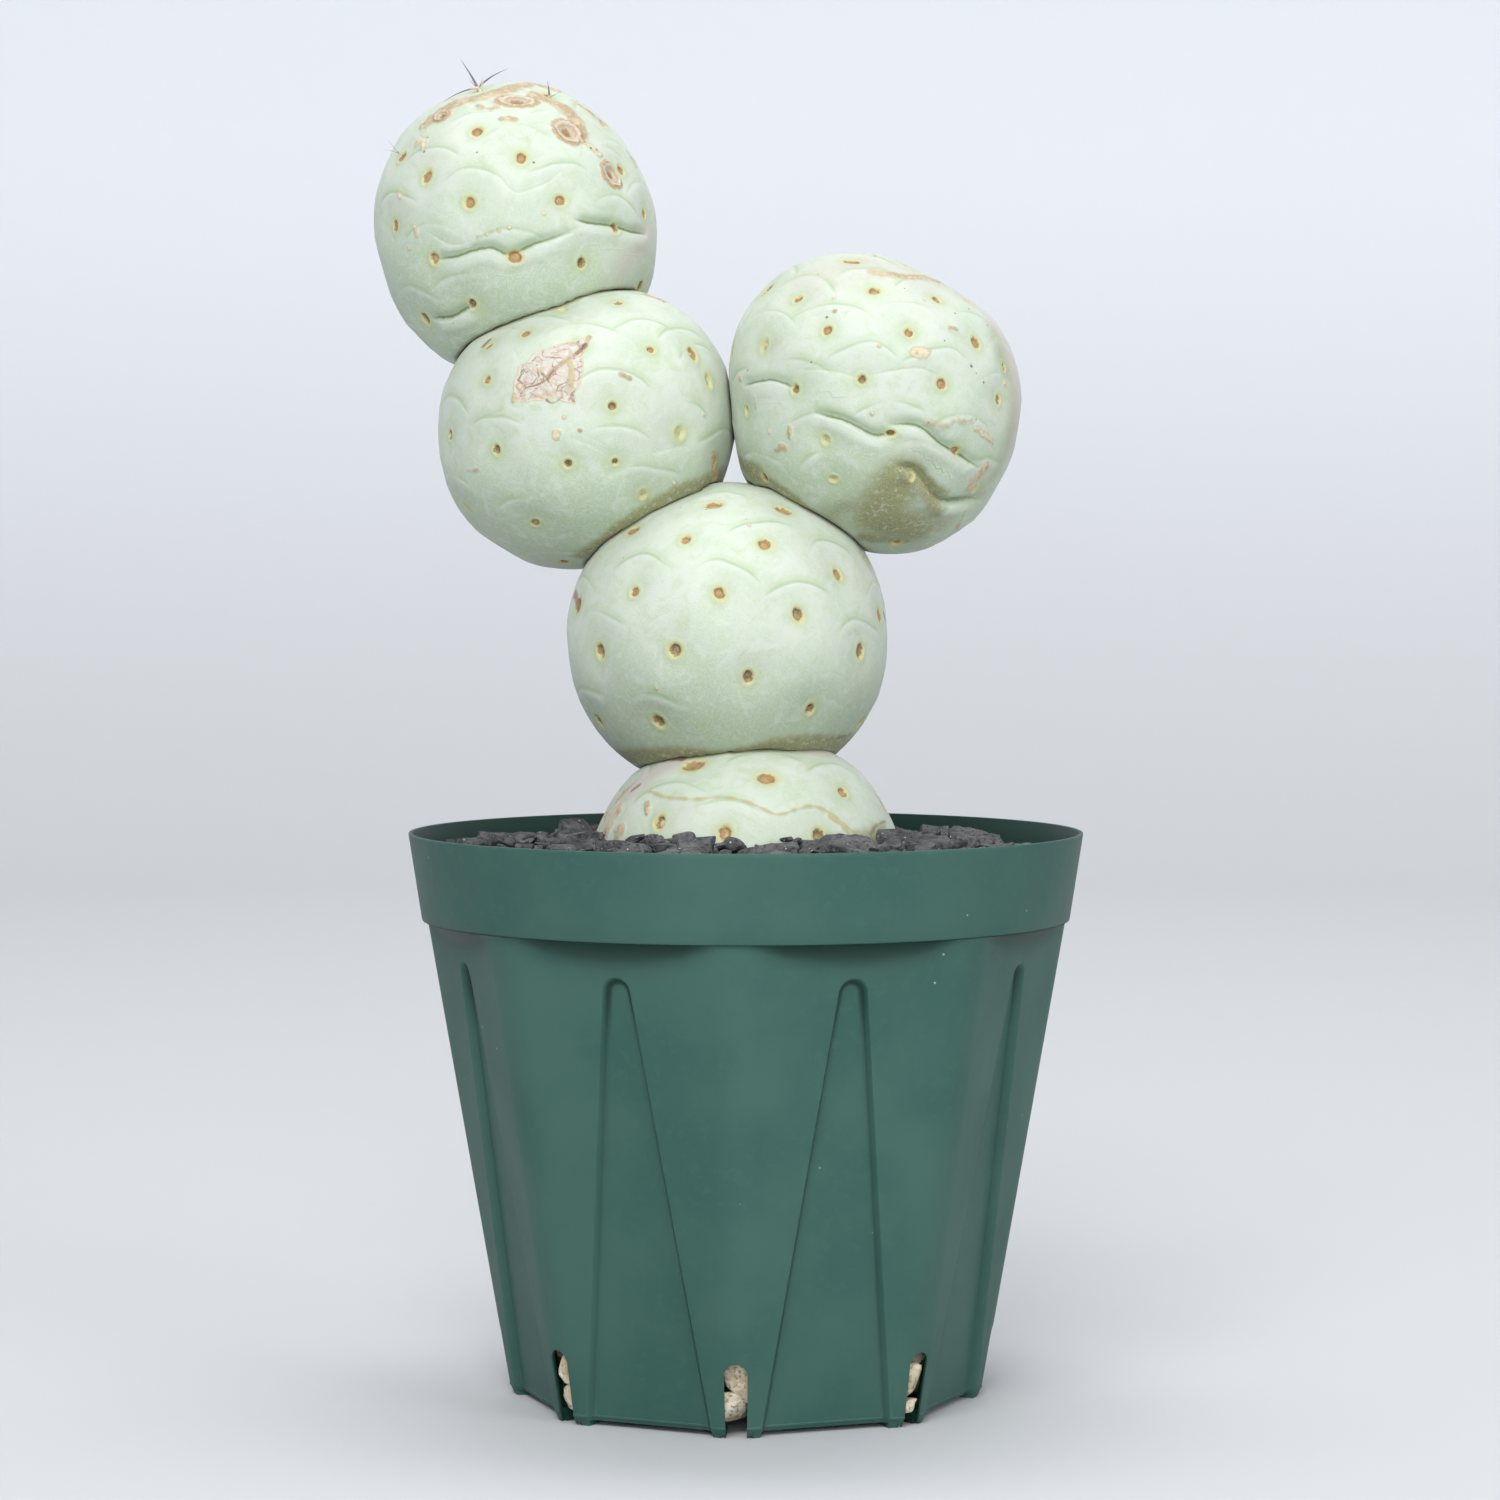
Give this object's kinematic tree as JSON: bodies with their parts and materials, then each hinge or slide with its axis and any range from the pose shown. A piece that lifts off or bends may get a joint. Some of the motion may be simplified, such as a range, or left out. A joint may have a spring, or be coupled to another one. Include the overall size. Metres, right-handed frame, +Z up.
{
  "type": "potted tephrocactus geometricus",
  "caption": "Ball-jointed cactus with pitted, netted stem segments stacked one on another, rooted in dark grit in a slit nursery pot with an eight-sided body.",
  "frame": {"origin": "middle of the pot, level with the surface that its feet stand on", "axes": "+Z up, -Y the front of the pot, with one of its eight slits, +X to the viewer's right"},
  "size_m": [0.1601, 0.15, 0.2984],
  "materials": {
    "pot_plastic": "dark green moulded polypropylene with a soft sheen",
    "pumice": "cream porous pebbles",
    "potting_mix": "dark brown gritty mineral mix",
    "lava_grit": "dark grey angular lava chips, matt and pitted",
    "root": "brown corky root",
    "cactus_skin": "pale blue-green waxy skin with a powdery bloom, rust brown areoles and corky scars"
  },
  "bodies": {
    "root": {"pot": "pot_plastic", "drainage_pumice": "pumice", "potting_mix": "potting_mix", "grit": "lava_grit", "root_stock": "root", "stem_1_base": "cactus_skin", "stem_2_middle": "cactus_skin", "stem_3_left": "cactus_skin", "stem_4_right": "cactus_skin", "stem_5_top": "cactus_skin"}
  },
  "joints": []
}
